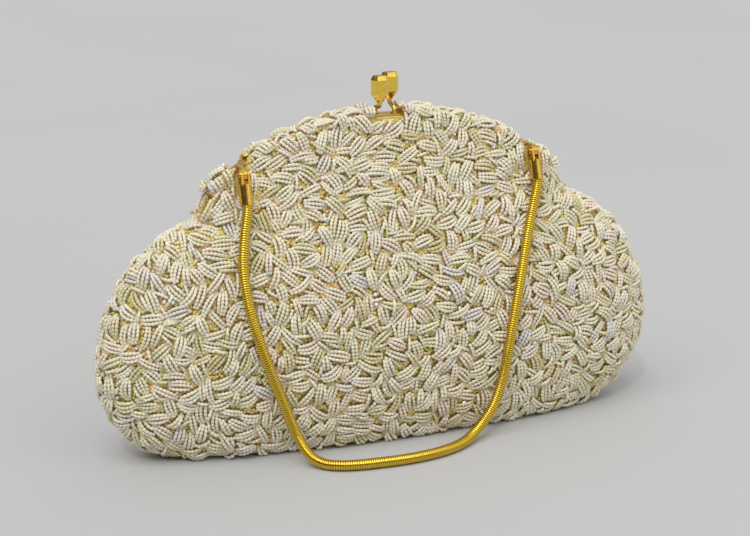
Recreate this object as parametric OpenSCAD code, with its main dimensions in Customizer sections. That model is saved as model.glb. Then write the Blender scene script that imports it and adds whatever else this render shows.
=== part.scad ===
// Kiss lock frame purse: beaded half-moon evening bag on a gilt frame, with a snake chain handle.
// X runs along the bag, the front faces -Y, and the bag stands on Z = 0.

/* [Bag body] */
// Half length of the bag across its lobes
lobe_x = 119; // [112:1:126]
// Height of the widest part of the lobes
lobe_z = 38; // [30:1:46]
// Half length of the flat base
base_x = 86; // [76:1:96]
// Half depth of the flat base
base_y = 15; // [12:1:18]
// Half depth of the bag at its fullest
belly_y = 26; // [22:0.5:29]
// Height of the fullest part of the belly
belly_z = 40; // [34:1:50]
// Half depth of the bag where its side seams end
shoulder_y = 17; // [14:0.5:18]
// Half length of the bag where its side seams end
seam_x = 79; // [77:0.5:82]
// Height where the side seams end, just under the frame hinges
seam_z = 94; // [91:0.5:94.3]
// Height where the back cloth starts to bend as the frame opens
bend_z = 78; // [70:1:84]

/* [Cloth] */
// Thickness of the beaded cloth, beads included
bead_t = 2.6; // [2:0.1:3]
// Height of the raised leaves of beads over the hollows between them
leaf_h = 1.6; // [1:0.1:1.8]
// Thickness of the stiff interlining
stiff_t = 1; // [0.6:0.1:1.4]
// Height where the interlining ends
stiff_z = 76; // [60:1:80]
// Thickness of the satin lining
satin_t = 0.6; // [0.5:0.1:1]
// Gap between two layers of cloth
layer_gap = 0.3; // [0.2:0.05:0.5]
// Half length of the slip pocket
pocket_x = 45; // [30:1:55]
// Height of the bottom of the slip pocket
pocket_z0 = 22; // [15:1:30]
// Height of the mouth of the slip pocket
pocket_z1 = 68; // [55:1:74]

/* [Frame] */
// Half length of the frame over its legs
frame_x = 72; // [69:0.5:73]
// Height of the top of the frame
frame_top = 131; // [126:1:136]
// Height of the arch over its shoulders
frame_rise = 24; // [22:0.5:24.5]
// Radius of the rounded shoulders of the frame
corner_r = 8; // [6.5:0.5:8.5]
// Width of each frame half, front to back
frame_w = 3.2; // [2.8:0.1:4]
// Depth of the frame channel
frame_h = 4.6; // [4:0.1:5]
// Sheet thickness of the frame
frame_t = 0.7; // [0.5:0.1:0.9]
// Gap between the closed frame halves
shut_gap = 0.2; // [0.1:0.05:0.4]
// Diameter of the packing cord in the frame channel
packing_d = 1.5; // [1.1:0.1:1.6]

/* [Frame hinges] */
// Height of the hinge axis
hinge_z = 98.2; // [97.8:0.1:98.6]
// Radius of the hinge ears
ear_r = 3.2; // [2.8:0.1:3.3]
// Thickness of the hinge ears
ear_t = 0.9; // [0.7:0.1:1.1]
// Gap between the two ears of a hinge
ear_gap = 0.15; // [0.1:0.05:0.3]
// Diameter of the hinge rivets
rivet_d = 2; // [1.6:0.1:2.4]
// Thickness of the rivet heads
rivet_head = 0.6; // [0.4:0.1:0.8]
// Radial play round a rivet or a pin
play = 0.05; // [0.03:0.01:0.08]

/* [Kiss lock] */
// Width of a knob, left to right
knob_w = 6.6; // [6:0.1:7.2]
// Depth of a knob, front to back
knob_d = 5; // [4.4:0.1:5.6]
// Height of a knob
knob_h = 10.4; // [9:0.1:11.5]
// Gap between the two knobs
knob_gap = 0.5; // [0.3:0.1:1]
// Distance of each knob in front of or behind the middle
knob_y = 3.6; // [3.2:0.1:4]
// Diameter of the posts that carry the knobs
post_d = 2; // [1.6:0.1:2.2]
// Height of the knobs over the top of the frame
post_h = 5.2; // [4.6:0.1:6]

/* [Chain handle] */
// Distance of each chain lug from the middle of the frame
lug_x = 61.5; // [56:0.5:62.5]
// Distance of the swivel pins in front of the middle
pin_y = 9.3; // [9:0.1:10.2]
// Depth of the swivel pins below the outer line of the frame over them
pin_drop = 1.25; // [0.9:0.05:1.6]
// Diameter of the swivel pins
pin_d = 1.4; // [1.2:0.1:1.6]
// Radius of the eye round a swivel pin
eye_r = 2.3; // [2:0.1:2.5]
// Thickness of a chain lug
lug_t = 1.6; // [1.2:0.1:2]
// Side gap between a lug and the cheeks of its clamp
lug_gap = 0.1; // [0.05:0.05:0.2]
// Thickness of the cheeks of a clamp
cheek_t = 0.8; // [0.6:0.1:1]
// Angle at which the clamps hang forward of plumb
clamp_tilt = 18; // [15:1:22]
// Distance from a swivel pin to the top of the chain cap
cap_top = 3.6; // [3.2:0.1:4]
// Distance from a swivel pin to the mouth of the chain cap
cap_end = 11.6; // [11:0.1:13]
// Wall of the chain cap
cap_t = 0.5; // [0.4:0.1:0.6]
// Thickness of the closed end of the chain cap
cap_roof = 1.2; // [0.8:0.1:1.6]
// Diameter of the snake chain
chain_d = 4.2; // [3.8:0.1:4.4]

/* [Hidden] */
$fn = 48;
eps = 0.01;

// Plan roundness of the body and bow of its sides between lobe and seam
plan_n = 2.2;
side_bow = 0.66;
// Bow of the cloth between the seam level and the frame
neck_bow = 1.2;
// Share of the rise to the frame over which the cloth edge opens round the hinge
edge_open = 0.15;
// Base seam stops short of the ends of the base
seam_short = 8;
// Columns from the middle to an end, rows up to the bend, and from there to the seam tops and the frame
cols = 8;
rows = 9;
band_count = 2;
neck_rows = [0.13, 0.33, 0.55, 0.78, 1];
// Finer columns of the beaded cloth, how evenly they are spread, and its rows up to the bend as angles of
// the same spacing, so that its raised leaves stand about 12 mm apart
leaf_cols = 20;
leaf_even = 0.4;
leaf_rows = [0, 20, 40, 50, 60, 70, 80, 90, 100, 110, 120, 130, 140, 160, 180];
// Height from which the lining is drawn in towards the hinges
drawn_z = 60;

// Frame arch: centre height and radius, and the centre of the rounded shoulder
arch_r = (frame_x * frame_x + frame_rise * frame_rise) / (2 * frame_rise);
arch_z = frame_top - arch_r;
corner_x = frame_x - corner_r;
corner_z = arch_z + sqrt(pow(arch_r - corner_r, 2) - corner_x * corner_x);
corner_a = atan2(corner_x, corner_z - arch_z);
frame_y0 = shut_gap / 2;
frame_y1 = frame_y0 + frame_w;
frame_ym = (frame_y0 + frame_y1) / 2;
leg_z = hinge_z + ear_r + layer_gap;

// Layers of cloth: how far each face lies inside the outer face of the bag
stiff_o = bead_t + layer_gap;
satin_o = stiff_o + stiff_t + layer_gap;
pocket_o = satin_o + satin_t + layer_gap;
cloth_top_x = frame_x - frame_t;
cloth_drop = frame_t;
satin_seam_x = frame_x - ear_t - rivet_head - layer_gap;
satin_top_x = frame_x - frame_h - 3 * layer_gap;
satin_arch_r = arch_r - frame_h - layer_gap;

// Chain cap and where it holds the chain
cap_d = chain_d + 2 * play + 2 * cap_t;
seat_l = cap_top + cap_roof;
pin_head_t = 0.5;
fork_x = lug_t / 2 + lug_gap + cheek_t;

function ease(t) = t <= 0 ? 0 : t >= 1 ? 1 : t * t * (3 - 2 * t);

// Half length and half depth of the body at a height
function side(z) =
    z < lobe_z
    ? base_x + (lobe_x - base_x) * sqrt(1 - pow((lobe_z - z) / lobe_z, 2))
    : seam_x + (lobe_x - seam_x) * pow(max(0, 1 - pow((z - lobe_z) / (seam_z - lobe_z), 2)), side_bow);
function depth(z) =
    z < belly_z
    ? base_y + (belly_y - base_y) * sqrt(1 - pow((belly_z - z) / belly_z, 2))
    : shoulder_y + (belly_y - shoulder_y) * (1 - pow((z - belly_z) / (seam_z - belly_z), 2));
function plan(s) = pow(max(0, 1 - pow(abs(s), plan_n)), 1 / plan_n);
function neck(w) = 1 - neck_bow * w - (1 - neck_bow) * w * w;

// Height of the outer line of the frame at a distance from the middle
function arch(x) =
    abs(x) < arch_r * sin(corner_a)
    ? arch_z + sqrt(arch_r * arch_r - x * x)
    : corner_z + sqrt(max(0, corner_r * corner_r - pow(abs(x) - corner_x, 2)));

// How far the lining is drawn in towards the hinges
function drawn_in(z, satin) =
    satin ? max(0, seam_x - satin_o - satin_seam_x) * ease((z - drawn_z) / (seam_z - drawn_z)) : 0;

// A point of the body below the seam tops: s from -1 to 1 along the bag, o inside the outer face
function body_point(s, z, o, satin) =
    [s * (side(z) - o - drawn_in(z, satin)), (depth(z) - o) * plan(s), z];
// Half depth between the seam tops and the frame: d at the seam level, edge_y at the frame
function neck_y(w, d, edge_y) =
    d >= edge_y
    ? edge_y + (d - edge_y) * neck(w)
    : edge_y - (edge_y - d) * (1 - ease(w / edge_open));
// A point between the seam tops and the frame: w from 0 to 1
function cloth_neck(s, w, o, edge_y) =
    let (x0 = seam_x - o)
    [s * (x0 + (cloth_top_x - x0) * w),
     neck_y(w, (depth(seam_z) - o) * plan(s), edge_y),
     seam_z + (arch(s * cloth_top_x) - cloth_drop - seam_z) * w];
function satin_neck(s, w, o, edge_y) =
    let (x0 = seam_x - o - drawn_in(seam_z, true), xt = s * satin_top_x)
    [s * (x0 + (satin_top_x - x0) * w),
     neck_y(w, (depth(seam_z) - o) * plan(s), edge_y),
     seam_z + (arch_z + sqrt(satin_arch_r * satin_arch_r - xt * xt) - seam_z) * w];

// Heights of the rows, closer at the base and at the seam tops
function row_z(j, z0, z1) = z0 + (z1 - z0) * (1 - cos(180 * j / rows)) / 2;
function along(i) = sin(90 * i / cols);

// One face of a layer, row by row: from the base seam up, and from the bend up to the seam tops
function base_rows(o, z1, satin) = [
    [for (i = [-cols:cols]) [along(i) * (side(o) - o - seam_short), 0, o]],
    for (j = [0:rows]) let (z = row_z(j, o, z1)) [for (i = [-cols:cols]) body_point(along(i), z, o, satin)]
];
function satin_band_rows(o) = [
    for (j = [0:band_count]) let (z = bend_z + (seam_z - bend_z) * j / band_count)
    [for (i = [-cols:cols]) body_point(along(i), z, o, true)]
];
function satin_neck_rows(o, edge_y) = [
    for (w = neck_rows) [for (i = [-cols:cols]) satin_neck(along(i), w, o, edge_y)]
];

// Beaded cloth: the raised leaves are high points of the outer face with hollows between them
function leaf_along(i) = let (t = i / leaf_cols) leaf_even * t + (1 - leaf_even) * sin(90 * t);
function hollow(i, j) = abs(i) < leaf_cols && (i + j) % 2 != 0 ? leaf_h : 0;
last_row = len(leaf_rows) - 1;
function beaded_base(o, high) = [
    [for (i = [-leaf_cols:leaf_cols]) [leaf_along(i) * (side(o) - o - seam_short), 0, o]],
    for (j = [0:last_row]) let (z = o + (bend_z - o) * (1 - cos(leaf_rows[j])) / 2)
    [for (i = [-leaf_cols:leaf_cols])
        body_point(leaf_along(i), z, o + (high && j > 1 ? hollow(i, j) : 0), false)]
];
function beaded_fold(o, edge_y, high) = [
    for (j = [0:band_count]) let (z = bend_z + (seam_z - bend_z) * j / band_count)
    [for (i = [-leaf_cols:leaf_cols])
        body_point(leaf_along(i), z, o + (high ? hollow(i, last_row + j) : 0), false)],
    for (j = [0:len(neck_rows) - 1])
    [for (i = [-leaf_cols:leaf_cols])
        let (h = high && j < len(neck_rows) - 1 ? hollow(i, last_row + band_count + 1 + j) : 0)
        cloth_neck(leaf_along(i), neck_rows[j], o + h, edge_y - h)]
];

// A closed layer between an outer and an inner face that have the same rows and columns
module layer(outer, inner, leafy = false) {
    nr = len(outer);
    nc = len(outer[0]);
    n = nr * nc;
    // The diagonals of the two ends mirror each other. In beaded cloth some join two high points to one leaf
    function halves(a, b, c, d, left) = left ? [[a, b, c], [a, c, d]] : [[a, b, d], [b, c, d]];
    function leaning(i, j) = leafy && j > 0 ? (i * i + i * j + 3 * j) % 5 < 3 : i < (nc - 1) / 2;
    cells = [for (j = [0:nr - 2]) for (i = [0:nc - 2]) each halves(
        j * nc + i, j * nc + i + 1, (j + 1) * nc + i + 1, (j + 1) * nc + i, leaning(i, j)
    )];
    rim = [
        for (i = [0:nc - 2]) [i, i + 1],
        for (j = [0:nr - 2]) [j * nc + nc - 1, (j + 1) * nc + nc - 1],
        for (i = [nc - 2:-1:0]) [(nr - 1) * nc + i + 1, (nr - 1) * nc + i],
        for (j = [nr - 2:-1:0]) [(j + 1) * nc, j * nc]
    ];
    polyhedron(
        [for (r = outer) each r, for (r = inner) each r],
        [
            each cells,
            for (t = cells) [n + t[0], n + t[2], n + t[1]],
            for (e = rim) each [[e[1], e[0], n + e[0]], [e[1], n + e[0], n + e[1]]]
        ]
    );
}

// Faces are made on the +Y side; the front is their mirror image
module front() mirror([0, 1, 0]) children();

// Rows of one face of the lining over the bend, up to the frame
function satin_fold_rows(o, edge_y) = concat(satin_band_rows(o), satin_neck_rows(o, edge_y));
function rest(v) = [for (i = [1:len(v) - 1]) v[i]];

cloth_in_y = frame_y1 + layer_gap;
cloth_out_y = cloth_in_y + bead_t;
module front_beaded_cloth() color("ivory") front() layer(
    concat(beaded_base(0, true), rest(beaded_fold(0, cloth_out_y, true))),
    concat(beaded_base(bead_t, false), rest(beaded_fold(bead_t, cloth_in_y, false))),
    true
);
module back_beaded_cloth() color("ivory") layer(beaded_base(0, true), beaded_base(bead_t, false), true);
module back_cloth_fold() color("ivory") layer(
    beaded_fold(0, cloth_out_y, true), beaded_fold(bead_t, cloth_in_y, false), true
);

module interlining() layer(base_rows(stiff_o, stiff_z, false), base_rows(stiff_o + stiff_t, stiff_z, false));
module front_interlining() color("wheat") front() interlining();
module back_interlining() color("wheat") interlining();

satin_in = satin_o + satin_t;
module front_lining() color("linen") front() layer(
    concat(base_rows(satin_o, bend_z, true), rest(satin_fold_rows(satin_o, frame_ym + satin_t / 2))),
    concat(base_rows(satin_in, bend_z, true), rest(satin_fold_rows(satin_in, frame_ym - satin_t / 2)))
);
module back_lining() color("linen") layer(base_rows(satin_o, bend_z, true), base_rows(satin_in, bend_z, true));
module back_lining_fold() color("linen") layer(
    satin_fold_rows(satin_o, frame_ym + satin_t / 2),
    satin_fold_rows(satin_in, frame_ym - satin_t / 2)
);

// The pocket is a second leaf of satin on the inside of the back lining
function pocket_rows(o) = [
    for (j = [0:4]) let (z = pocket_z0 + (pocket_z1 - pocket_z0) * j / 4)
    [for (i = [-6:6]) let (s = i / 6 * pocket_x / (side(z) - o)) body_point(s, z, o, false)]
];
module slip_pocket() color("linen") layer(pocket_rows(pocket_o), pocket_rows(pocket_o + satin_t));

// Line of the frame, from one leg over the arch to the other, at a distance o inside its outer line
shoulder_steps = 8;
arch_steps = 36;
function polar(r, a, x, z) = [x + r * cos(a), z + r * sin(a)];
function frame_line(o, foot_z) = concat(
    [[frame_x - o, foot_z]],
    [for (k = [0:shoulder_steps]) polar(corner_r - o, k / shoulder_steps * (90 - corner_a), corner_x, corner_z)],
    [for (k = [1:arch_steps - 1]) polar(arch_r - o, 90 - corner_a + 2 * corner_a * k / arch_steps, 0, arch_z)],
    [for (k = [0:shoulder_steps])
        polar(corner_r - o, 90 + corner_a + k / shoulder_steps * (90 - corner_a), -corner_x, corner_z)],
    [[o - frame_x, foot_z]]
);
function reversed(v) = [for (i = [len(v) - 1:-1:0]) v[i]];
// Turns what is drawn in X and Y to stand in X and Z, with its thickness along Y
module upright() mirror([0, 1, 0]) rotate([90, 0, 0]) children();
module frame_band(o0, o1, y0, y1, foot_z) upright() translate([0, 0, y0]) linear_extrude(y1 - y0)
    polygon(concat(frame_line(o0, foot_z), reversed(frame_line(o1, foot_z))));
// A frame half is a channel, open towards the inside of the bag
module frame_half() difference() {
    frame_band(0, frame_h, frame_y0, frame_y1, leg_z);
    frame_band(frame_t, frame_h + frame_t, frame_y0 + frame_t, frame_y1 - frame_t, leg_z - frame_t);
}
module both_sides() {
    children();
    mirror([1, 0, 0]) children();
}

// A hinge ear with its outer face at x, and the strap that carries it
module ear(x) translate([x - ear_t, 0, hinge_z]) rotate([0, 90, 0]) cylinder(r = ear_r, h = ear_t);
module ear_bore() translate([frame_x - 2 * ear_t, 0, hinge_z])
    rotate([0, 90, 0]) cylinder(d = rivet_d + 2 * play, h = 6 * ear_t);
ear_out_x = frame_x + ear_gap + ear_t;

module front_frame() color("goldenrod") front() difference() {
    union() {
        frame_half();
        both_sides() {
            ear(frame_x);
            translate([frame_x - ear_t, frame_y0, hinge_z])
                cube([ear_t, frame_w, leg_z + ear_t - hinge_z]);
        }
    }
    both_sides() ear_bore();
}
module back_frame() color("goldenrod") difference() {
    union() {
        frame_half();
        both_sides() {
            ear(ear_out_x);
            translate([frame_x + ear_gap, frame_y0, hinge_z])
                cube([ear_t, frame_w, leg_z + 2 * ear_t - hinge_z]);
            translate([frame_x - frame_t, frame_y0, leg_z])
                cube([ear_out_x - frame_x + frame_t, frame_w, 2 * ear_t]);
        }
    }
    both_sides() ear_bore();
}

// Cord pressed into the frame channel, which holds the cloth there
module packing_cord() translate([0, 0, arch_z]) upright() rotate([0, 0, 90 - corner_a])
    rotate_extrude(angle = 2 * corner_a, $fn = 180)
        translate([arch_r - frame_h / 2, frame_ym]) circle(d = packing_d, $fn = 24);
module front_packing_cord() color("tan") front() packing_cord();
module back_packing_cord() color("tan") packing_cord();

// A pin along X from x0 to x1, with a chamfered head on each end
module headed_pin(pin_r, head_r, head_t, x0, x1) rotate([0, 90, 0]) rotate_extrude() polygon([
    [0, x0 - head_t], [head_r - head_t / 2, x0 - head_t], [head_r, x0 - head_t / 2], [head_r, x0], [pin_r, x0],
    [pin_r, x1], [head_r, x1], [head_r, x1 + head_t / 2], [head_r - head_t / 2, x1 + head_t], [0, x1 + head_t]
]);
module hinge_rivet() translate([0, 0, hinge_z])
    headed_pin(rivet_d / 2, rivet_d / 2 + rivet_head, rivet_head, frame_x - ear_t - play, ear_out_x + play);
module right_hinge_rivet() color("darkgoldenrod") hinge_rivet();
module left_hinge_rivet() color("darkgoldenrod") mirror([1, 0, 0]) hinge_rivet();

// Kiss lock. A knob is a cut block: a tapered foot, straight sides and a bevelled top
knob_x = (knob_w + knob_gap) / 2;
knob_z = frame_top + post_h;
knob_cut = 0.22 * knob_w;
foot_w = post_d + 0.6;
foot_cut = 0.29 * foot_w;
top_cut = 0.7 * knob_cut;
// Heights at which the foot ends and the bevel starts
knob_z1 = 0.28 * knob_h;
knob_z2 = 0.84 * knob_h;

function cut_ring(w, d, c, z) = [
    [w / 2, d / 2 - c, z], [w / 2 - c, d / 2, z], [c - w / 2, d / 2, z], [-w / 2, d / 2 - c, z],
    [-w / 2, c - d / 2, z], [c - w / 2, -d / 2, z], [w / 2 - c, -d / 2, z], [w / 2, c - d / 2, z]
];
module stack(rings) {
    nc = len(rings[0]);
    last = (len(rings) - 1) * nc;
    polyhedron(
        [for (r = rings) each r],
        [
            [for (i = [0:nc - 1]) i],
            for (k = [0:len(rings) - 2]) for (i = [0:nc - 1])
                let (a = k * nc + i, b = k * nc + (i + 1) % nc) each [[b, a, a + nc], [b, a + nc, b + nc]],
            [for (i = [nc - 1:-1:0]) last + i]
        ]
    );
}
module knob() stack([
    cut_ring(foot_w, foot_w, foot_cut, 0),
    cut_ring(knob_w, knob_d, knob_cut, knob_z1),
    cut_ring(knob_w, knob_d, knob_cut, knob_z2),
    cut_ring(knob_w - knob_cut, knob_d - knob_cut, top_cut, knob_h)
]);
// A post stands on its own frame half and leans over to the other side of the middle
post_sides = 16;
collar_h = 0.6;
lean_in = 0.8;
straight_low = 1.4;
straight_top = 1;
lean_z0 = frame_top + straight_low + lean_in;
lean_z1 = knob_z - straight_top - lean_in;
module post(x) {
    translate([x, frame_ym, frame_top]) cylinder(d = frame_w - 4 * play, h = collar_h);
    tube([
        [x, frame_ym, frame_top + collar_h / 2], [x, frame_ym, frame_top + straight_low],
        [x, frame_ym - lean_in, lean_z0], [x, lean_in - knob_y, lean_z1],
        [x, -knob_y, knob_z - straight_top], [x, -knob_y, knob_z]
    ], post_d, post_sides);
}
module back_knob_post() color("goldenrod") post(-knob_x);
module front_knob_post() color("goldenrod") front() post(knob_x);
module back_knob() color("gold") translate([-knob_x, -knob_y, knob_z]) knob();
module front_knob() color("gold") translate([knob_x, knob_y, knob_z]) knob();

// Chain lug: stands on top of the front frame half and reaches out over the edge of the cloth
pin_z = arch(lug_x) - pin_drop;
lug_rise = 1.4;
lug_top = arch(lug_x) + lug_rise;
lug_low = arch(lug_x - lug_t / 2) - cloth_drop + layer_gap;
module lug() difference() {
    union() {
        translate([lug_x - lug_t / 2, -pin_y, pin_z]) rotate([0, 90, 0]) cylinder(r = eye_r, h = lug_t);
        translate([lug_x - lug_t / 2, -pin_y, lug_low])
            cube([lug_t, pin_y - frame_y0 - layer_gap, lug_top - lug_low]);
    }
    translate([0, -frame_y1 - layer_gap, arch_z]) rotate([-90, 0, 0])
        cylinder(r = arch_r + play, h = 2 * frame_y1, $fn = 180);
    translate([lug_x - lug_t, -pin_y, pin_z]) rotate([0, 90, 0]) cylinder(d = pin_d + 2 * play, h = 2 * lug_t);
}
module right_chain_lug() color("goldenrod") lug();
module left_chain_lug() color("goldenrod") mirror([1, 0, 0]) lug();

module swivel_pin() translate([lug_x, -pin_y, pin_z])
    headed_pin(pin_d / 2, pin_d / 2 + pin_head_t, pin_head_t, -fork_x - play, fork_x + play);
module right_swivel_pin() color("darkgoldenrod") swivel_pin();
module left_swivel_pin() color("darkgoldenrod") mirror([1, 0, 0]) swivel_pin();

// Chain clamp, hanging from its pin: two cheeks and a round cap that grips the chain end
module clamp() translate([lug_x, -pin_y, pin_z]) rotate([-clamp_tilt, 0, 0]) difference() {
    union() {
        translate([0, 0, -cap_end]) cylinder(d = cap_d, h = cap_end - cap_top);
        for (x = [-fork_x, fork_x - cheek_t]) translate([x, 0, 0]) {
            rotate([0, 90, 0]) cylinder(r = eye_r, h = cheek_t);
            translate([0, -eye_r, -cap_top - cap_roof / 2]) cube([cheek_t, 2 * eye_r, cap_top + cap_roof / 2]);
        }
    }
    translate([0, 0, -cap_end - eps]) cylinder(d = chain_d + 2 * play, h = cap_end - seat_l + eps);
    translate([-2 * fork_x, 0, 0]) rotate([0, 90, 0]) cylinder(d = pin_d + 2 * play, h = 4 * fork_x);
}
module right_chain_clamp() color("gold") clamp();
module left_chain_clamp() color("gold") mirror([1, 0, 0]) clamp();

// Snake chain. It leaves the caps in line with them, falls over the front of the bag and lies on
// the surface in front of it. The points between the caps are the ones that it follows
function cap_point(side_x, l) = [side_x * lug_x, -pin_y - l * sin(clamp_tilt), pin_z - l * cos(clamp_tilt)];
chain_run = [
    [-64, -17, 90], [-65.5, -19.5, 81], [-65.5, -21.8, 72], [-64, -24, 61], [-61, -26, 49],
    [-57.5, -26.8, 38], [-53.5, -27, 27], [-50, -27.5, 17.5], [-47, -29, 10], [-44, -32.5, 4.5],
    [-40, -37, 2.4], [-35, -40.5, 2.3], [-28, -42.6, 2.3], [-19, -43.6, 2.3], [-9, -44, 2.3],
    [1, -43.2, 2.3], [10, -41, 2.3], [18, -37.4, 2.4], [25, -33, 3.6], [31, -29.8, 6.8],
    [36, -28.2, 12], [39.3, -27.6, 19], [41.5, -27.6, 27], [43, -27.8, 36], [45, -27.4, 47],
    [47.5, -26.2, 58], [50.5, -23.8, 69], [53.8, -20.8, 80], [57.5, -17.4, 90.5]
];
chain_path = concat(
    [cap_point(-1, seat_l), cap_point(-1, (seat_l + cap_end) / 2), cap_point(-1, cap_end + chain_d / 2)],
    chain_run,
    [cap_point(1, cap_end + chain_d / 2), cap_point(1, (seat_l + cap_end) / 2), cap_point(1, seat_l)]
);
chain_sides = 8;

function unit(v) = v / norm(v);
function heading(p, i) =
    unit(i == 0 ? p[1] - p[0] : i == len(p) - 1 ? p[i] - p[i - 1] : unit(p[i + 1] - p[i]) + unit(p[i] - p[i - 1]));
// Frames carried along the run without twist
function carried(p, i, n) =
    i == len(p) ? [] :
    let (t = heading(p, i), m = unit(n - (n * t) * t))
    concat([[t, m, cross(t, m)]], carried(p, i + 1, m));
module tube(p, d, sides) {
    f = carried(p, 0, [1, 0, 0]);
    rings = [
        for (i = [0:len(p) - 1]) [
            for (k = [0:sides - 1]) let (a = 360 * (k + 0.5) / sides)
            p[i] + d / 2 * (cos(a) * f[i][1] + sin(a) * f[i][2])
        ]
    ];
    stack(rings);
}
module snake_chain() color("gold") tube(chain_path, chain_d, chain_sides);

front_beaded_cloth();
back_beaded_cloth();
back_cloth_fold();
front_interlining();
back_interlining();
front_lining();
back_lining();
back_lining_fold();
slip_pocket();
front_frame();
back_frame();
front_packing_cord();
back_packing_cord();
left_hinge_rivet();
right_hinge_rivet();
front_knob();
front_knob_post();
back_knob();
back_knob_post();
left_chain_lug();
right_chain_lug();
left_swivel_pin();
right_swivel_pin();
left_chain_clamp();
right_chain_clamp();
snake_chain();
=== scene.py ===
import math
import random

import bpy
import numpy as np
from mathutils import Matrix, Vector
from mathutils.kdtree import KDTree


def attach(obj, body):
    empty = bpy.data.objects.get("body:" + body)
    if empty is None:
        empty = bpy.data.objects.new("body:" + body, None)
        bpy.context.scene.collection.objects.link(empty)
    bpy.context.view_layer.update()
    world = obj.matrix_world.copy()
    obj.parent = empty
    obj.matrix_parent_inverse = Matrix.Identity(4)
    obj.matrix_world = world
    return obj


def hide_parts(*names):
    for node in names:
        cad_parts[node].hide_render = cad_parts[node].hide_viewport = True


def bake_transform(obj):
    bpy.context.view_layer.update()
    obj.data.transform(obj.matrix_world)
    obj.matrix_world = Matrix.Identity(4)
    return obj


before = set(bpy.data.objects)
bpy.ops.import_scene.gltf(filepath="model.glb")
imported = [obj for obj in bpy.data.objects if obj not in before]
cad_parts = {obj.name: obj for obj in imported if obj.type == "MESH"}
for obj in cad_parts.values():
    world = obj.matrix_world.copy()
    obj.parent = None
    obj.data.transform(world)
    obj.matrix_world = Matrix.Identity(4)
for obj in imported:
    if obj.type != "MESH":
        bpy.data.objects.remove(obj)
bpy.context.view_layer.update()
MM = 0.001

# Bag body and frame, in millimetres, as in the construction
LOBE_X, LOBE_Z = 119, 38
BASE_X, BASE_Y = 86, 15
BELLY_Y, BELLY_Z = 26, 40
SHOULDER_Y, SEAM_X, SEAM_Z = 17, 79, 94
PLAN_N, SIDE_BOW, NECK_BOW, EDGE_OPEN = 2.2, 0.66, 1.2, 0.15
FRAME_X, FRAME_TOP, FRAME_RISE, CORNER_R = 72, 131, 24, 8
FRAME_W, FRAME_H, FRAME_T, SHUT_GAP = 3.2, 4.6, 0.7, 0.2
GAP = 0.3
BEAD_T, STIFF_T, SATIN_T = 2.6, 1.0, 0.6
STIFF_Z, DRAWN_Z = 76, 60
POCKET_X, POCKET_Z0, POCKET_Z1 = 45, 22, 68
ARCH_R = (FRAME_X ** 2 + FRAME_RISE ** 2) / (2 * FRAME_RISE)
ARCH_Z = FRAME_TOP - ARCH_R
CORNER_X = FRAME_X - CORNER_R
CORNER_Z = ARCH_Z + math.sqrt((ARCH_R - CORNER_R) ** 2 - CORNER_X ** 2)
CORNER_A = math.atan2(CORNER_X, CORNER_Z - ARCH_Z)
FRAME_Y1 = SHUT_GAP / 2 + FRAME_W
FRAME_YM = SHUT_GAP / 2 + FRAME_W / 2
CLOTH_EDGE_Y = FRAME_Y1 + GAP + BEAD_T
STIFF_O = BEAD_T + GAP
SATIN_O = STIFF_O + STIFF_T + GAP
POCKET_O = SATIN_O + SATIN_T + GAP

# Chain handle, in millimetres. The points are the ones of the construction
LUG_X, PIN_Y, PIN_Z, CLAMP_TILT = 61.5, 9.3, 112.8, 18
CAP_TOP, CAP_END, CAP_ROOF, CHAIN_D = 3.6, 11.6, 1.2, 4.2
CHAIN_RUN = [
    (-64, -17, 90), (-65.5, -19.5, 81), (-65.5, -21.8, 72), (-64, -24, 61), (-61, -26, 49),
    (-57.5, -26.8, 38), (-53.5, -27, 27), (-50, -27.5, 17.5), (-47, -29, 10), (-44, -32.5, 4.5),
    (-40, -37, 2.4), (-35, -40.5, 2.3), (-28, -42.6, 2.3), (-19, -43.6, 2.3), (-9, -44, 2.3),
    (1, -43.2, 2.3), (10, -41, 2.3), (18, -37.4, 2.4), (25, -33, 3.6), (31, -29.8, 6.8),
    (36, -28.2, 12), (39.3, -27.6, 19), (41.5, -27.6, 27), (43, -27.8, 36), (45, -27.4, 47),
    (47.5, -26.2, 58), (50.5, -23.8, 69), (53.8, -20.8, 80), (57.5, -17.4, 90.5),
]


def srgb(r, g, b):
    """Linear colour of an sRGB colour written from 0 to 255."""
    linear = [c / 255 / 12.92 if c <= 10 else ((c / 255 + 0.055) / 1.055) ** 2.4 for c in (r, g, b)]
    return (*linear, 1)


# Camera: the photograph's angle, with its distance and lens
CAM_YAW, CAM_LIFT, CAM_DIST = 21.75, 15.58, 687
CAM_TARGET = Vector((-4.05, 0, 67.82)) * MM
PHOTO_W, FOCAL_PX, SENSOR = 750, 1700, 36


def make_camera():
    yaw, lift = math.radians(CAM_YAW), math.radians(CAM_LIFT)
    way = Vector((-math.sin(yaw) * math.cos(lift), -math.cos(yaw) * math.cos(lift), math.sin(lift)))
    data = bpy.data.cameras.new("camera")
    data.sensor_width = SENSOR
    data.lens = FOCAL_PX / PHOTO_W * SENSOR
    data.clip_start = 0.01
    cam = bpy.data.objects.new("camera", data)
    bpy.context.scene.collection.objects.link(cam)
    cam.location = CAM_TARGET + way * CAM_DIST * MM
    cam.rotation_euler = (-way).to_track_quat("-Z", "Y").to_euler()
    bpy.context.scene.camera = cam


make_camera()


# Materials
def principled(name, rough, metallic=0.0, colour=(0.8, 0.8, 0.8, 1), spec=0.5):
    mat = bpy.data.materials.new(name)
    mat.use_nodes = True
    bsdf = mat.node_tree.nodes["Principled BSDF"]
    bsdf.inputs["Base Color"].default_value = colour
    bsdf.inputs["Roughness"].default_value = rough
    bsdf.inputs["Metallic"].default_value = metallic
    bsdf.inputs["Specular IOR Level"].default_value = spec
    return mat, mat.node_tree, bsdf


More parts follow.
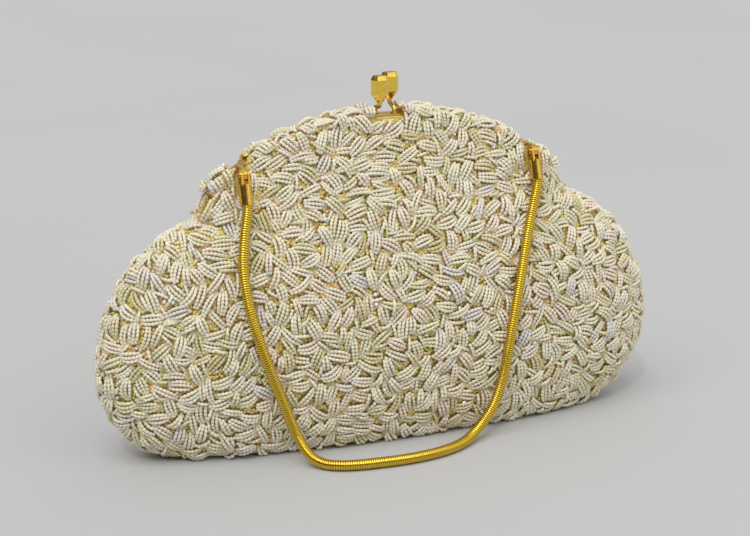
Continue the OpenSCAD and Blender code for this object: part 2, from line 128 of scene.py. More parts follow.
def noise(tree, scale, detail=2.0):
    coords = tree.nodes.new("ShaderNodeTexCoord")
    node = tree.nodes.new("ShaderNodeTexNoise")
    node.inputs["Scale"].default_value = scale
    node.inputs["Detail"].default_value = detail
    tree.links.new(coords.outputs["Object"], node.inputs["Vector"])
    return node


def ramp(tree, source, stops, socket):
    """Colours a value from 0 to 1 by stops of (place, colour) and plugs it into a socket."""
    node = tree.nodes.new("ShaderNodeValToRGB")
    elements = node.color_ramp.elements
    while len(elements) < len(stops):
        elements.new(0.5)
    for element, (place, colour) in zip(elements, stops):
        element.position = place
        element.color = colour
    tree.links.new(source, node.inputs["Fac"])
    tree.links.new(node.outputs["Color"], socket)
    return node


def bump(tree, bsdf, source, strength, distance):
    node = tree.nodes.new("ShaderNodeBump")
    node.inputs["Strength"].default_value = strength
    node.inputs["Distance"].default_value = distance
    tree.links.new(source, node.inputs["Height"])
    tree.links.new(node.outputs["Normal"], bsdf.inputs["Normal"])


def tint_value(tree, name):
    node = tree.nodes.new("ShaderNodeAttribute")
    node.attribute_name = name
    return node.outputs["Fac"]


def bead_material():
    mat, tree, bsdf = principled("ivory_seed_beads", 0.34)
    bsdf.inputs["Coat Weight"].default_value = 0.3
    bsdf.inputs["Coat Roughness"].default_value = 0.15
    ramp(tree, tint_value(tree, "tint"), [
        (0.0, srgb(214, 206, 150)), (0.2, srgb(228, 220, 178)), (0.4, srgb(240, 233, 204)),
        (0.6, srgb(244, 238, 216)), (0.8, srgb(244, 228, 204)), (1.0, srgb(230, 226, 222)),
    ], bsdf.inputs["Base Color"])
    return mat


def sequin_material():
    mat, tree, bsdf = principled("iridescent_sequins", 0.2, 0.1, spec=0.8)
    bsdf.inputs["Coat Weight"].default_value = 0.5
    bsdf.inputs["Coat Roughness"].default_value = 0.08
    ramp(tree, tint_value(tree, "tint"), [
        (0.0, srgb(220, 208, 84)), (0.25, srgb(236, 220, 130)), (0.42, srgb(210, 188, 112)),
        (0.6, srgb(238, 190, 128)), (0.8, srgb(242, 212, 164)), (1.0, srgb(222, 224, 160)),
    ], bsdf.inputs["Base Color"])
    return mat


def crystal_material():
    mat, tree, bsdf = principled("aurora_crystals", 0.06, 0.15, spec=1.0)
    bsdf.inputs["Coat Weight"].default_value = 1.0
    bsdf.inputs["Coat Roughness"].default_value = 0.03
    ramp(tree, tint_value(tree, "tint"), [
        (0.0, srgb(255, 250, 240)), (0.5, srgb(250, 235, 250)),
        (0.8, srgb(255, 225, 210)), (1.0, srgb(225, 245, 250)),
    ], bsdf.inputs["Base Color"])
    return mat


def cloth_material():
    mat, tree, bsdf = principled("ivory_ground_cloth", 0.7)
    ramp(tree, noise(tree, 260).outputs["Fac"], [
        (0.3, srgb(206, 188, 100)), (0.5, srgb(222, 200, 120)), (0.7, srgb(230, 206, 140)),
    ], bsdf.inputs["Base Color"])
    bump(tree, bsdf, noise(tree, 2600).outputs["Fac"], 0.5, 0.0003)
    return mat


def satin_material():
    mat, tree, bsdf = principled("ivory_satin", 0.38)
    bsdf.inputs["Sheen Weight"].default_value = 0.4
    bsdf.inputs["Sheen Roughness"].default_value = 0.4
    ramp(tree, noise(tree, 90, 4).outputs["Fac"], [
        (0.3, srgb(214, 200, 168)), (0.7, srgb(232, 220, 192)),
    ], bsdf.inputs["Base Color"])
    weave = tree.nodes.new("ShaderNodeTexWave")
    weave.inputs["Scale"].default_value = 900
    coords = tree.nodes.new("ShaderNodeTexCoord")
    tree.links.new(coords.outputs["Object"], weave.inputs["Vector"])
    bump(tree, bsdf, weave.outputs["Fac"], 0.15, 0.0001)
    return mat


def interlining_material():
    mat, tree, bsdf = principled("stiff_interlining", 0.85)
    ramp(tree, noise(tree, 700, 4).outputs["Fac"], [
        (0.3, srgb(206, 192, 160)), (0.7, srgb(226, 214, 186)),
    ], bsdf.inputs["Base Color"])
    return mat


def chain_material():
    """Gilt with painted shade in the grooves between the ribs and a painted highlight on the rib crests."""
    mat, tree, bsdf = principled("gilt_chain_painted_shade_highlight", 0.2, 1.0)
    # The tint attribute carries painted light here: 0 paints the grooves dark as shade, 1 paints the crests
    # light as a highlight.
    ramp(tree, tint_value(tree, "tint"), [
        (0.0, srgb(110, 78, 12)), (0.55, srgb(214, 172, 40)), (1.0, srgb(255, 222, 92)),
    ], bsdf.inputs["Base Color"])
    return mat


def gilt_material(name, rough, light, dark, grain=900):
    mat, tree, bsdf = principled(name, rough, 1.0)
    ramp(tree, noise(tree, grain, 3).outputs["Fac"], [(0.3, dark), (0.65, light)], bsdf.inputs["Base Color"])
    wear = tree.nodes.new("ShaderNodeMapRange")
    wear.inputs["To Min"].default_value = rough * 0.7
    wear.inputs["To Max"].default_value = rough * 1.5
    tree.links.new(noise(tree, grain * 0.4, 5).outputs["Fac"], wear.inputs["Value"])
    tree.links.new(wear.outputs["Result"], bsdf.inputs["Roughness"])
    return mat


def cord_material():
    mat, tree, bsdf = principled("cotton_cord", 0.9)
    ramp(tree, noise(tree, 1500, 2).outputs["Fac"], [
        (0.3, srgb(180, 162, 126)), (0.7, srgb(206, 190, 154)),
    ], bsdf.inputs["Base Color"])
    return mat


BEADS = bead_material()
SEQUINS = sequin_material()
CRYSTALS = crystal_material()
CLOTH = cloth_material()
SATIN = satin_material()
STIFF = interlining_material()
CORD = cord_material()
GILT = gilt_material("gilt_frame", 0.22, srgb(240, 205, 110), srgb(222, 182, 84))
GILT_KNOB = gilt_material("gilt_knobs", 0.1, srgb(252, 218, 100), srgb(240, 196, 74))
GILT_CLAMP = gilt_material("gilt_clamps", 0.16, srgb(248, 204, 98), srgb(228, 176, 70))
GILT_CHAIN = chain_material()


# Shape of the bag: half length and half depth at a height, as in the construction
def side(z):
    low = BASE_X + (LOBE_X - BASE_X) * np.sqrt(np.clip(1 - ((LOBE_Z - z) / LOBE_Z) ** 2, 0, 1))
    rise = np.clip(1 - ((z - LOBE_Z) / (SEAM_Z - LOBE_Z)) ** 2, 0, 1)
    return np.where(z < LOBE_Z, low, SEAM_X + (LOBE_X - SEAM_X) * rise ** SIDE_BOW)


def depth(z):
    low = BASE_Y + (BELLY_Y - BASE_Y) * np.sqrt(np.clip(1 - ((BELLY_Z - z) / BELLY_Z) ** 2, 0, 1))
    high = SHOULDER_Y + (BELLY_Y - SHOULDER_Y) * (1 - ((z - BELLY_Z) / (SEAM_Z - BELLY_Z)) ** 2)
    return np.where(z < BELLY_Z, low, high)


def plan(s):
    return np.clip(1 - np.abs(s) ** PLAN_N, 0, 1) ** (1 / PLAN_N)


def ease(t):
    t = np.clip(t, 0, 1)
    return t * t * (3 - 2 * t)


def arch(x):
    x = np.abs(x)
    top = ARCH_Z + np.sqrt(np.clip(ARCH_R ** 2 - x * x, 0, None))
    corner = CORNER_Z + np.sqrt(np.clip(CORNER_R ** 2 - (x - CORNER_X) ** 2, 0, None))
    return np.where(x < ARCH_R * math.sin(CORNER_A), top, corner)


def drawn_in(z):
    seam_in = FRAME_X - 0.9 - 0.6 - GAP
    return max(0, SEAM_X - SATIN_O - seam_in) * ease((z - DRAWN_Z) / (SEAM_Z - DRAWN_Z))


def skin(s, v, o, edge_y, satin=False):
    """Points of the back side (+Y) in millimetres. s runs from -1 to 1 along the bag. v runs from -1 to 0
    over the flat base, to 1 up to the seam tops and to 2 up to the frame. o is the depth inside the outer
    face."""
    s, v = np.broadcast_arrays(np.asarray(s, float), np.asarray(v, float))
    z = o + (SEAM_Z - o) * (1 - np.cos(math.pi * np.clip(v, 0, 1))) / 2
    pull = drawn_in(z) if satin else 0
    x = s * (side(z) - o - pull)
    y = (depth(z) - o) * plan(s)
    base = np.clip(1 + v, 0, 1)
    y = y * base
    w = np.clip(v - 1, 0, 1)
    neck_on = v > 1
    x0 = SEAM_X - o - (drawn_in(SEAM_Z) if satin else 0)
    if satin:
        xt = FRAME_X - FRAME_H - 3 * GAP
        top_r = ARCH_R - FRAME_H - GAP
        top = ARCH_Z + np.sqrt(top_r ** 2 - (s * xt) ** 2)
    else:
        xt = FRAME_X - FRAME_T
        top = arch(s * xt) - FRAME_T
    d = (depth(np.float64(SEAM_Z)) - o) * plan(s)
    neck = 1 - NECK_BOW * w - (1 - NECK_BOW) * w * w
    wide, narrow = edge_y + (d - edge_y) * neck, edge_y - (edge_y - d) * (1 - ease(w / EDGE_OPEN))
    yn = np.where(d >= edge_y, wide, narrow)
    x = np.where(neck_on, s * (x0 + (xt - x0) * w), x)
    y = np.where(neck_on, yn, y)
    z = np.where(neck_on, SEAM_Z + (top - SEAM_Z) * w, z)
    return np.stack([x, y, z], -1)


# Meshes
def mesh_object(name, verts, faces, material, tints=None, smooth=True):
    """A mesh object from points in millimetres and equal faces, with one tint a point if given."""
    faces = np.asarray(faces, np.int32)
    me = bpy.data.meshes.new(name)
    me.vertices.add(len(verts))
    me.vertices.foreach_set("co", (np.asarray(verts, np.float64) * MM).astype(np.float32).ravel())
    corners = faces.shape[1]
    me.loops.add(faces.size)
    me.loops.foreach_set("vertex_index", faces.ravel())
    me.polygons.add(len(faces))
    me.polygons.foreach_set("loop_start", np.arange(0, faces.size, corners, dtype=np.int32))
    me.polygons.foreach_set("use_smooth", np.full(len(faces), smooth))
    me.update(calc_edges=True)
    if tints is not None:
        attribute = me.attributes.new("tint", "FLOAT", "POINT")
        attribute.data.foreach_set("value", np.asarray(tints, np.float32))
    me.materials.append(material)
    obj = bpy.data.objects.new(name, me)
    bpy.context.scene.collection.objects.link(obj)
    return obj


def grid_faces(rows, cols):
    j, i = np.meshgrid(np.arange(rows - 1), np.arange(cols - 1), indexing="ij")
    a = (j * cols + i).ravel()
    return np.stack([a, a + 1, a + cols + 1, a + cols], 1)


def closed_layer(outer, inner):
    """Points and faces of a closed layer between two grids of points that have the same shape."""
    rows, cols = outer.shape[:2]
    n = rows * cols
    grid = grid_faces(rows, cols)
    rim = [(i, i + 1) for i in range(cols - 1)]
    rim += [(j * cols + cols - 1, (j + 1) * cols + cols - 1) for j in range(rows - 1)]
    rim += [((rows - 1) * cols + i + 1, (rows - 1) * cols + i) for i in reversed(range(cols - 1))]
    rim += [((j + 1) * cols, j * cols) for j in reversed(range(rows - 1))]
    walls = np.array([(b, a, n + a, n + b) for a, b in rim])
    verts = np.concatenate([outer.reshape(-1, 3), inner.reshape(-1, 3)])
    faces = np.concatenate([grid, n + grid[:, ::-1], walls])
    return verts, faces


def flipped(verts, faces):
    """The front side, as the mirror image of the back."""
    return np.asarray(verts) * (1, -1, 1), np.asarray(faces)[:, ::-1]


def frames_along(points):
    """Directions and carried side vectors along a run of points."""
    points = np.asarray(points, float)
    steps = np.diff(points, axis=0)
    steps /= np.linalg.norm(steps, axis=1)[:, None]
    heading = np.vstack([steps[:1], steps[1:] + steps[:-1], steps[-1:]])
    heading /= np.linalg.norm(heading, axis=1)[:, None]
    sides = []
    m = np.array([1.0, 0.0, 0.0])
    for t in heading:
        m = m - (m @ t) * t
        m /= np.linalg.norm(m)
        sides.append(m)
    sides = np.array(sides)
    return heading, sides, np.cross(heading, sides)


def tube_mesh(points, radii, sides):
    """A round tube along points with a radius at each, closed by its end caps."""
    points = np.asarray(points, float)
    _, m, b = frames_along(points)
    a = 2 * math.pi * (np.arange(sides) + 0.5) / sides
    ring = np.cos(a)[None, :, None] * m[:, None, :] + np.sin(a)[None, :, None] * b[:, None, :]
    verts = (points[:, None, :] + np.asarray(radii)[:, None, None] * ring).reshape(-1, 3)
    count = len(points)
    k, i = np.meshgrid(np.arange(count - 1), np.arange(sides), indexing="ij")
    a0 = (k * sides + i).ravel()
    a1 = (k * sides + (i + 1) % sides).ravel()
    faces = [np.stack([a0, a1, a1 + sides, a0 + sides], 1)]
    verts = np.vstack([verts, points[:1], points[-1:]])
    start, end = len(verts) - 2, len(verts) - 1
    i = np.arange(sides)
    j = (i + 1) % sides
    last = (count - 1) * sides
    faces.append(np.stack([j, i, np.full(sides, start), np.full(sides, start)], 1))
    faces.append(np.stack([last + i, last + j, np.full(sides, end), np.full(sides, end)], 1))
    return verts, np.concatenate(faces)


def as_triangles(faces):
    """Splits quads, also those whose last two corners are one point, into triangles."""
    faces = np.asarray(faces)
    first = faces[:, [0, 1, 2]]
    second = faces[:, [0, 2, 3]]
    return np.concatenate([first, second[second[:, 1] != second[:, 2]]])


# The snake chain
def smooth_run(points, per_step):
    """Catmull-Rom curve through the points."""
    p = np.asarray(points, float)
    p = np.vstack([2 * p[0] - p[1], p, 2 * p[-1] - p[-2]])
    t = np.linspace(0, 1, per_step, endpoint=False)[:, None]
    out = []
    for a, b, c, d in zip(p[:-3], p[1:-2], p[2:-1], p[3:]):
        square, cube = 2 * a - 5 * b + 4 * c - d, 3 * b - a - 3 * c + d
        out.append(0.5 * (2 * b + (c - a) * t + square * t ** 2 + cube * t ** 3))
    return np.vstack(out + [p[-2:-1]])


def even_run(points, count):
    points = np.asarray(points, float)
    length = np.concatenate([[0], np.cumsum(np.linalg.norm(np.diff(points, axis=0), axis=1))])
    at = np.linspace(0, length[-1], count)
    return np.stack([np.interp(at, length, points[:, k]) for k in range(3)], 1), length[-1]


def cap_point(x, along):
    tilt = math.radians(CLAMP_TILT)
    return (x, -PIN_Y - along * math.sin(tilt), PIN_Z - along * math.cos(tilt))


RIB_PITCH = 0.9
RIB_SHAPE = [0.88, 0.97, 1.0, 0.97]
# Ramp place of each ring of a rib: painted shade in the groove (0), painted highlight on the crest (1).
RIB_SHADE_AND_HIGHLIGHT = [0.0, 0.7, 1.0, 0.7]
CHAIN_SIDES = 18


def snake_chain():
    seat = CAP_TOP + CAP_ROOF
    ends = [seat, (seat + CAP_END) / 2, CAP_END + CHAIN_D / 2]
    points = [cap_point(-LUG_X, a) for a in ends] + CHAIN_RUN + [cap_point(LUG_X, a) for a in reversed(ends)]
    fine = smooth_run(points, 12)
    _, length = even_run(fine, 2)
    ribs = round(length / RIB_PITCH)
    line, length = even_run(fine, ribs * len(RIB_SHAPE) + 1)
    part = np.arange(len(line)) % len(RIB_SHAPE)
    verts, faces = tube_mesh(line, CHAIN_D / 2 * np.array(RIB_SHAPE)[part], CHAIN_SIDES)
    # Painted rib shade and highlight for every point, carried in the tint attribute; the end caps get the
    # painted groove shade.
    tints = np.append(np.repeat(np.array(RIB_SHADE_AND_HIGHLIGHT)[part], CHAIN_SIDES), [0, 0])
    chain = mesh_object("ribbed_snake_chain", verts, as_triangles(faces), GILT_CHAIN, tints)
    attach(chain, "handle")
    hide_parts("snake_chain")


snake_chain()


# Beads
BEAD_PITCH = 1.36
BEAD_R = 0.77
BEAD_RINGS = [(0.0, 0.52), (0.28, 0.94), (0.5, 1.0), (0.72, 0.94)]
STRAND_SIDES = 6
TABLE_ROOM = BEAD_R + 0.05
CLOTH_O = 2.1


RIM_PATH = [(CLOTH_EDGE_Y, -0.7), (CLOTH_EDGE_Y, 0.7), (5.6, 1.9), (4.4, 2.5), (3.0, 2.6), (2.0, 2.4)]
RIM_END = 1.25
POST_ROOM, LUG_ROOM, LUG_REACH = 6.6, 3.2, 9
RIM_FROM = 1.97


def rim_skin(s, v):
    """Face of the beads over the upper edge of the frame, for v from 2 to 3."""
    angle = s * RIM_END
    main = np.abs(s) <= CORNER_A / RIM_END
    cx = np.where(main, 0, np.sign(s) * CORNER_X)
    cz = np.where(main, ARCH_Z, CORNER_Z)
    r = np.where(main, ARCH_R, CORNER_R)
    k = np.linspace(0, 1, len(RIM_PATH))
    y = np.interp(v - 2, k, [p[0] for p in RIM_PATH])
    r = r + np.interp(v - 2, k, [p[1] for p in RIM_PATH])
    return np.stack([cx + r * np.sin(angle), y, cz + r * np.cos(angle)], -1)


def face_samples(surface, s, v):
    """Points of a face with normals and areas, for placing what is sewn on."""
    sv, ss = np.meshgrid(v, s, indexing="ij")
    p = surface(ss, sv)
    n = np.cross(np.gradient(p, axis=0), np.gradient(p, axis=1))
    size = np.linalg.norm(n, axis=2)
    n = n / np.maximum(size, 1e-9)[..., None]
    keep = size > 1e-4
    return p[keep], n[keep], size[keep], sv[keep]


class Skin:
    """The outer face of the back side as a cloud of points, with what is covered so far."""

    def __init__(self):
        def outer(s, v):
            return skin(s, v, 0.0, CLOTH_EDGE_Y)

        body = face_samples(outer, np.linspace(-1, 1, 520), np.linspace(-1, 2, 560))
        rim = face_samples(rim_skin, np.linspace(-1, 1, 420), np.linspace(2, 3, 24))
        self.p, self.n, self.area, self.v = (np.concatenate(pair) for pair in zip(body, rim))
        x, z = self.p[:, 0], self.p[:, 2]
        top = self.v > RIM_FROM
        near_lugs = z > arch(x) - LUG_REACH
        self.blocked = top & (np.abs(x) < POST_ROOM)
        for lug_x in (LUG_X, -LUG_X):
            self.blocked |= near_lugs & (np.abs(x - lug_x) < LUG_ROOM)
        self.covered = self.blocked.copy()
        self.tree = KDTree(len(self.p))
        for i, q in enumerate(self.p):
            self.tree.insert(q, i)
        self.tree.balance()

    def nearest(self, points):
        return np.array([self.tree.find(q)[1] for q in points])

    def cover(self, points, radius):
        for q in points:
            for _, i, _ in self.tree.find_range(q, radius):
                self.covered[i] = True


def leaf_plan(rng, strands, beads, spacing):
    """Strand lines of one leaf in its own plane: a list of (u, v, arch, tip) arrays, from end to end."""
    bend = rng.uniform(-0.05, 0.05)
    fan = rng.uniform(0.35, 0.75)
    lines = []
    middle = (strands - 1) / 2
    for k in range(strands):
        off = (k - middle) / max(middle, 1)
        count = beads - int(round(abs(off) * rng.uniform(0.0, 1.4))) if strands > 1 else beads
        half = count * BEAD_PITCH / 2
        t = np.linspace(-1, 1, max(9, count * 3))
        u = t * half + rng.uniform(-0.4, 0.4)
        v = (k - middle) * spacing * (fan + (1 - fan) * (1 - t * t)) + bend * (u * u - half * half)
        lines.append((u, v, 1 - t * t, (1 + t) / 2, count))
    return lines


def place_leaf(skin_, centre, angle, plan_, lift, tip, low):
    """Strand points of a leaf laid on the bag: they follow its face, arch over it and stand up at one end."""
    c, n = skin_.p[centre], skin_.n[centre]
    a = np.cross(n, (0.0, 0.0, 1.0))
    a = a / np.linalg.norm(a) if np.linalg.norm(a) > 0.2 else np.array([1.0, 0, 0])
    b = np.cross(n, a)
    e1 = math.cos(angle) * a + math.sin(angle) * b
    e2 = -math.sin(angle) * a + math.cos(angle) * b
    out, hit, over = [], [], 0.0
    for u, v, rise, end, count in plan_:
        flat = c + u[:, None] * e1 + v[:, None] * e2
        near = skin_.nearest(flat)
        q, m = skin_.p[near], skin_.n[near]
        gap = flat - q
        off = np.sum(gap * m, 1)[:, None]
        slip = np.linalg.norm(gap - off * m, axis=1).max()
        over = max(over, slip)
        line = flat - off * m - (low - lift * rise[:, None] - tip * end[:, None]) * m
        line[:, 2] = np.maximum(line[:, 2], TABLE_ROOM)
        out.append((line, count))
        hit.append(near)
    return out, np.concatenate(hit), over
LEAF_STAGES = [
    # strands, beads in a strand, tries, share that may lie on another leaf
    (3, 7, 1500, 0.10), (2, 8, 3000, 0.13), (3, 6, 3000, 0.14), (2, 7, 4500, 0.17), (3, 5, 3500, 0.2),
    (2, 6, 5000, 0.23), (2, 5, 6000, 0.28), (1, 6, 5000, 0.32), (1, 5, 6000, 0.36), (1, 4, 6000, 0.4),
]
STRAND_SPACING = 1.6
EDGE_OVERHANG = 1.3
STRAND_COVER = 1.1
LEAF_SEED = 11
LEAF_LOW = 1.6
BASE_TOP = 1.5
BASE_LIFT, LEAF_LIFT, LEAF_TIP = (0.2, 0.6), (0.9, 2.3), (0, 1.6)
TURNS_TRIED = 3


def lay_leaves(skin_, seed):
    """Covers the bag with leaves of bead strands, the large ones first. Returns strands and tints."""
    rng = random.Random(seed)
    order = np.arange(len(skin_.p))
    weight = skin_.area / skin_.area.sum()
    picker = np.random.RandomState(seed)
    strands = []
    for count, beads, tries, share in LEAF_STAGES:
        picks = picker.choice(order, tries, p=weight)
        for centre in picks:
            if skin_.covered[centre]:
                continue
            base = skin_.p[centre][2] < BASE_TOP
            plan_ = leaf_plan(rng, count, beads, STRAND_SPACING * rng.uniform(0.92, 1.08))
            lift = rng.uniform(*BASE_LIFT) if base else rng.uniform(*LEAF_LIFT)
            tip = 0 if base else rng.uniform(*LEAF_TIP)
            for _ in range(TURNS_TRIED):
                angle = rng.uniform(0, 2 * math.pi)
                lines, hit, over = place_leaf(skin_, centre, angle, plan_, lift, tip, LEAF_LOW)
                free = skin_.covered[hit].mean() <= share and not skin_.blocked[hit].any()
                if over < EDGE_OVERHANG and free:
                    tint = rng.gauss(0.55, 0.2)
                    for line, n in lines:
                        strands.append((line, n, tint + rng.gauss(0, 0.07)))
                        skin_.cover(line[::2], STRAND_COVER)
                    break
    return strands


# Small pieces sewn into the gaps between the leaves
CRYSTAL_COUNT = 95
SEQUIN_SHARE = 0.4
FILLER_LOW = 1.25
SMALL_SEED = 5
FILLER_COVER = 0.95


def tilted(rng, normal, most):
    """A direction near the normal."""
    way = np.asarray(normal) + np.array([rng.uniform(-most, most) for _ in range(3)])
    return way / np.linalg.norm(way)


def lay_crystals(skin_, rng, picker):
    """Faceted stones on the face, as (points, radii, tint)."""
    up = np.flatnonzero((skin_.v > 0.25) & ~skin_.blocked)
    weight = skin_.area[up] / skin_.area[up].sum()
    stones = []
    for i in picker.choice(up, CRYSTAL_COUNT, replace=False, p=weight):
        c, way, size = skin_.p[i], tilted(rng, skin_.n[i], 0.35), rng.uniform(0.75, 1.1)
        foot = c - 0.9 * skin_.n[i]
        points = [foot + way * a * size for a in (0, 0.5, 1.15, 1.55)]
        stones.append((points, [0.55 * size, size, 0.8 * size, 0.45 * size], rng.random()))
        skin_.cover([c], 1.2)
    return stones


def lay_fillers(skin_, rng, picker):
    """Sequins and single beads wherever the ground would show. Sequins as (points, radii, tint)."""
    bare = np.flatnonzero(~skin_.covered & (skin_.v > -0.9))
    sequins, beads = [], []
    for i in picker.permutation(bare):
        if skin_.covered[i]:
            continue
        c, n = skin_.p[i], skin_.n[i]
        if rng.random() < SEQUIN_SHARE:
            way, size = tilted(rng, n, 0.45), rng.uniform(1.15, 1.6)
            foot = c - (FILLER_LOW + 0.1) * n
            points = [foot, foot + 0.12 * way, foot + 0.34 * way]
            sequins.append((points, [0.8 * size, size, 0.62 * size], rng.random()))
            skin_.cover([c], FILLER_COVER * 1.25)
        else:
            along = np.cross(n, tilted(rng, (0, 0, 0.2), 1.0))
            along = along / np.linalg.norm(along) * BEAD_PITCH / 2
            foot = c - (FILLER_LOW - 0.1) * n
            beads.append((np.array([foot - along, foot, foot + along]), 1, rng.random()))
            skin_.cover([c], FILLER_COVER)
    return sequins, beads


def small_mesh(parts, sides):
    verts, faces, tints, total = [], [], [], 0
    for points, radii, tint in parts:
        v, f = tube_mesh(points, radii, sides)
        verts.append(v)
        faces.append(as_triangles(f) + total)
        tints.append(np.full(len(v), tint))
        total += len(v)
    return np.vstack(verts), np.vstack(faces), np.concatenate(tints)


def strand_mesh(strands, rng):
    """One mesh of many strands, each a tube that swells at every bead."""
    verts, faces, tints, total = [], [], [], 0
    for line, count, tint in strands:
        points, _ = even_run(line, count * len(BEAD_RINGS) + 1)
        radii = [BEAD_R * BEAD_RINGS[k % len(BEAD_RINGS)][1] for k in range(len(points))]
        place = np.concatenate([[0], np.cumsum(np.linalg.norm(np.diff(points, axis=0), axis=1))])
        rings = [divmod(k, len(BEAD_RINGS)) for k in range(len(points))]
        want = np.array([bead + BEAD_RINGS[ring][0] for bead, ring in rings])
        want = want / want[-1] * place[-1]
        points = np.stack([np.interp(want, place, points[:, i]) for i in range(3)], 1)
        v, f = tube_mesh(points, radii, STRAND_SIDES)
        f = as_triangles(f) + total
        bead_tint = np.array([rng.gauss(tint, 0.06) for _ in range(count + 1)])
        index = np.minimum(np.arange(len(points)) // len(BEAD_RINGS), count)
        around = np.repeat(bead_tint[index], STRAND_SIDES)
        tints.append(np.concatenate([around, bead_tint[:1], bead_tint[-1:]]))
        verts.append(v)
        faces.append(f)
        total += len(v)
    return np.vstack(verts), np.vstack(faces), np.clip(np.concatenate(tints), 0, 1)


def turned(points):
    """Half a turn about Z, which brings what lies on the back to the front."""
    return np.asarray(points) * (-1, -1, 1)


STRANDS_A_PIECE = 620


def sewn(name, face, mesh, material, smooth=True):
    verts, faces, tints = mesh
    if face == "front":
        verts = turned(verts)
    obj = mesh_object(name, verts, faces, material, tints, smooth)
    place_cloth(obj, face)


def bead_pieces():
    skin_ = Skin()
    rng, picker = random.Random(SMALL_SEED), np.random.RandomState(SMALL_SEED)
    crystals = lay_crystals(skin_, rng, picker)
    strands = lay_leaves(skin_, LEAF_SEED)
    sequins, fillers = lay_fillers(skin_, rng, picker)
    strands.sort(key=lambda s: float(s[0][:, 0].mean()))
    print("strands", len(strands), "fillers", len(fillers), "sequins", len(sequins))
    for face in ("front", "back"):
        for k in range(0, len(strands), STRANDS_A_PIECE):
            name = f"{face}_bead_leaves_{k // STRANDS_A_PIECE + 1}"
            sewn(name, face, strand_mesh(strands[k:k + STRANDS_A_PIECE], rng), BEADS)
        sewn(f"{face}_gap_beads", face, strand_mesh(fillers, rng), SEQUINS)
        sewn(f"{face}_sequins", face, small_mesh(sequins, 10), SEQUINS)
        sewn(f"{face}_crystals", face, small_mesh(crystals, 6), CRYSTALS, False)


def place_cloth(obj, face):
    """Front cloth stays with the front frame half; back cloth is not attached to a body, its placement is
    baked into its points.
    """
    if face == "front":
        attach(obj, "root")
    else:
        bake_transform(obj)


bead_pieces()


def ground_cloth(face):
    s = np.sin(np.linspace(-math.pi / 2, math.pi / 2, 121))
    v = np.linspace(-1, 2, 141)
    vv, ss = np.meshgrid(v, s, indexing="ij")
    outer = skin(ss, vv, CLOTH_O, CLOTH_EDGE_Y - CLOTH_O)
    inner = skin(ss, vv, BEAD_T, CLOTH_EDGE_Y - BEAD_T)
    verts, faces = closed_layer(outer, inner)
    if face == "front":
        verts, faces = flipped(verts, faces)
    obj = mesh_object(f"{face}_ground_cloth", verts, faces, CLOTH)
    if face == "front":
        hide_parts("front_beaded_cloth")
    else:
        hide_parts("back_beaded_cloth", "back_cloth_fold")
    place_cloth(obj, face)


GATHERS, GATHER_DEPTH = 46, 0.45


def lining(face):
    s = np.sin(np.linspace(-math.pi / 2, math.pi / 2, 241))
    v = np.linspace(-1, 2, 121)
    vv, ss = np.meshgrid(v, s, indexing="ij")
    fold = GATHER_DEPTH * (0.5 + 0.5 * np.sin(GATHERS * np.arcsin(ss) + 1.3 * np.sin(9 * ss)))
    fold = fold * ease((vv - 0.85) / 0.4) * ease((2 - vv) / 0.15)
    outer = skin(ss, vv, SATIN_O, FRAME_YM + SATIN_T / 2, True)
    inner = skin(ss, vv, SATIN_O + SATIN_T, FRAME_YM - SATIN_T / 2, True)
    for layer in (outer, inner):
        layer[..., 1] = np.maximum(layer[..., 1] - fold, np.minimum(layer[..., 1], 0.2))
    verts, faces = closed_layer(outer, inner)
    if face == "front":
        verts, faces = flipped(verts, faces)
    obj = mesh_object(f"{face}_satin_lining", verts, faces, SATIN)
    if face == "front":
        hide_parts("front_lining")
    else:
        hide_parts("back_lining", "back_lining_fold")
    place_cloth(obj, face)


def row_at(z, o):
    """Row of skin() whose height is z at the depth o."""
    return math.acos(1 - 2 * (z - o) / (SEAM_Z - o)) / math.pi


def interlining(face):
    s = np.sin(np.linspace(-math.pi / 2, math.pi / 2, 121))
    rows = []
    for o in (STIFF_O, STIFF_O + STIFF_T):
        vv, ss = np.meshgrid(np.linspace(-1, row_at(STIFF_Z, o), 81), s, indexing="ij")
        rows.append(skin(ss, vv, o, CLOTH_EDGE_Y - o))
    verts, faces = closed_layer(*rows)
    if face == "front":
        verts, faces = flipped(verts, faces)
    obj = mesh_object(f"{face}_stiff_interlining", verts, faces, STIFF)
    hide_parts(f"{face}_interlining")
    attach(obj, "root")


MOUTH_SAG, HEM_T, HEM_H = 1.6, 0.35, 3.0


def slip_pocket():
    """A second leaf of satin on the back lining, with a turned hem and a mouth that stands open a little."""
    z = np.linspace(POCKET_Z0, POCKET_Z1, 61)
    t = np.linspace(-1, 1, 91)
    zz, tt = np.meshgrid(z, t, indexing="ij")
    open_ = MOUTH_SAG * ease((zz - POCKET_Z0) / (POCKET_Z1 - POCKET_Z0)) * (1 - tt ** 2)
    hem = HEM_T * ease((zz - POCKET_Z1 + HEM_H) / 0.6)
    rows = []
    for o, more in ((POCKET_O, 0), (POCKET_O + SATIN_T, 1)):
        x = tt * POCKET_X
        y = (depth(zz) - o) * plan(x / (side(zz) - o)) - open_ - more * hem
        rows.append(np.stack([x, y, zz], -1))
    verts, faces = closed_layer(*rows)
    obj = mesh_object("satin_slip_pocket", verts, faces, SATIN)
    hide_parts("slip_pocket")
    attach(obj, "root")


for face in ("front", "back"):
    ground_cloth(face)
    interlining(face)
    lining(face)
slip_pocket()


# Materials of the metal pieces that stay as built
def finish_node(node, material):
    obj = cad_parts[node]
    obj.data.materials.clear()
    obj.data.materials.append(material)


for node in ("front_frame", "back_frame", "front_knob_post", "back_knob_post"):
    finish_node(node, GILT)
for piece in ("chain_lug", "hinge_rivet", "swivel_pin"):
    finish_node(f"left_{piece}", GILT)
    finish_node(f"right_{piece}", GILT)
for node in ("left_chain_clamp", "right_chain_clamp"):
    finish_node(node, GILT_CLAMP)
for node in ("front_knob", "back_knob"):
    finish_node(node, GILT_KNOB)
for node in ("front_packing_cord", "back_packing_cord"):
    finish_node(node, CORD)


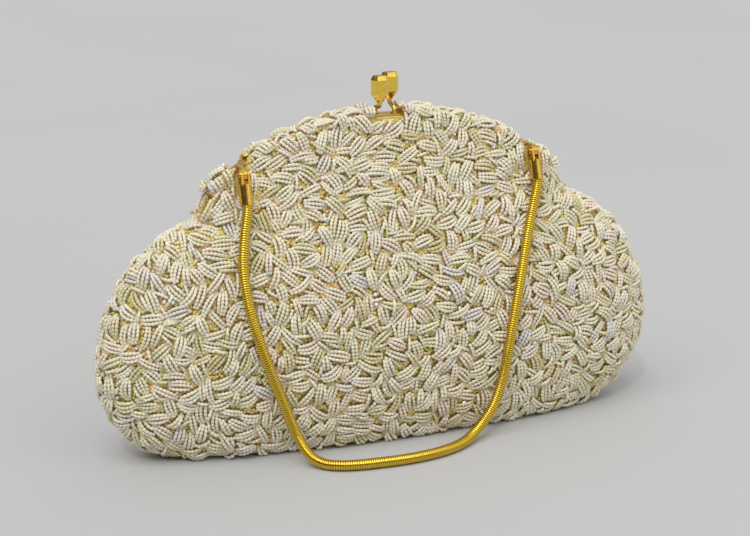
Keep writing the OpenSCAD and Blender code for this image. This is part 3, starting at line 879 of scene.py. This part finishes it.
# Floor and light
FLOOR_HALF = 6.0


def floor():
    n = 24
    g = np.linspace(-FLOOR_HALF, FLOOR_HALF, n) / MM
    x, y = np.meshgrid(g, g)
    verts = np.stack([x, y, np.zeros_like(x)], -1).reshape(-1, 3)
    mat, tree, bsdf = principled("pale_table", 0.85, spec=0.2)
    ramp(tree, noise(tree, 3, 2).outputs["Fac"], [
        (0.3, srgb(192, 192, 192)), (0.7, srgb(195, 195, 195)),
    ], bsdf.inputs["Base Color"])
    obj = mesh_object("table", verts, grid_faces(n, n), mat)


def sun(name, azimuth, lift, strength, angle):
    data = bpy.data.lights.new(name, "SUN")
    data.energy = strength
    data.angle = math.radians(angle)
    obj = bpy.data.objects.new(name, data)
    bpy.context.scene.collection.objects.link(obj)
    a, b = math.radians(azimuth), math.radians(lift)
    way = Vector((math.sin(a) * math.cos(b), -math.cos(a) * math.cos(b), math.sin(b)))
    obj.rotation_euler = (-way).to_track_quat("-Z", "Y").to_euler()


floor()
sun("key", -50, 58, 1.35, 50)
sun("glint", -35, 50, 0.35, 1.5)
sun("fill", 35, 35, 0.35, 60)
LIGHT_SIDE = (0.35, 0.1, 0.9)


def studio_world():
    """Neutral light from above and the right that falls off to a darker room near the level of the table."""
    world = bpy.data.worlds.new("world")
    world.use_nodes = True
    tree = world.node_tree
    coords = tree.nodes.new("ShaderNodeTexCoord")
    facing = tree.nodes.new("ShaderNodeVectorMath")
    facing.operation = "DOT_PRODUCT"
    facing.inputs[1].default_value = LIGHT_SIDE
    tree.links.new(coords.outputs["Generated"], facing.inputs[0])
    back = tree.nodes["Background"]
    ramp(tree, facing.outputs["Value"], [
        (0.0, (0.1, 0.1, 0.1, 1)), (0.3, (0.25, 0.25, 0.25, 1)),
        (0.5, (0.95, 0.95, 0.95, 1)), (1.0, (1, 1, 1, 1)),
    ], back.inputs["Color"])
    back.inputs["Strength"].default_value = 0.7
    bpy.context.scene.world = world


studio_world()
bpy.context.scene.view_settings.view_transform = "Standard"
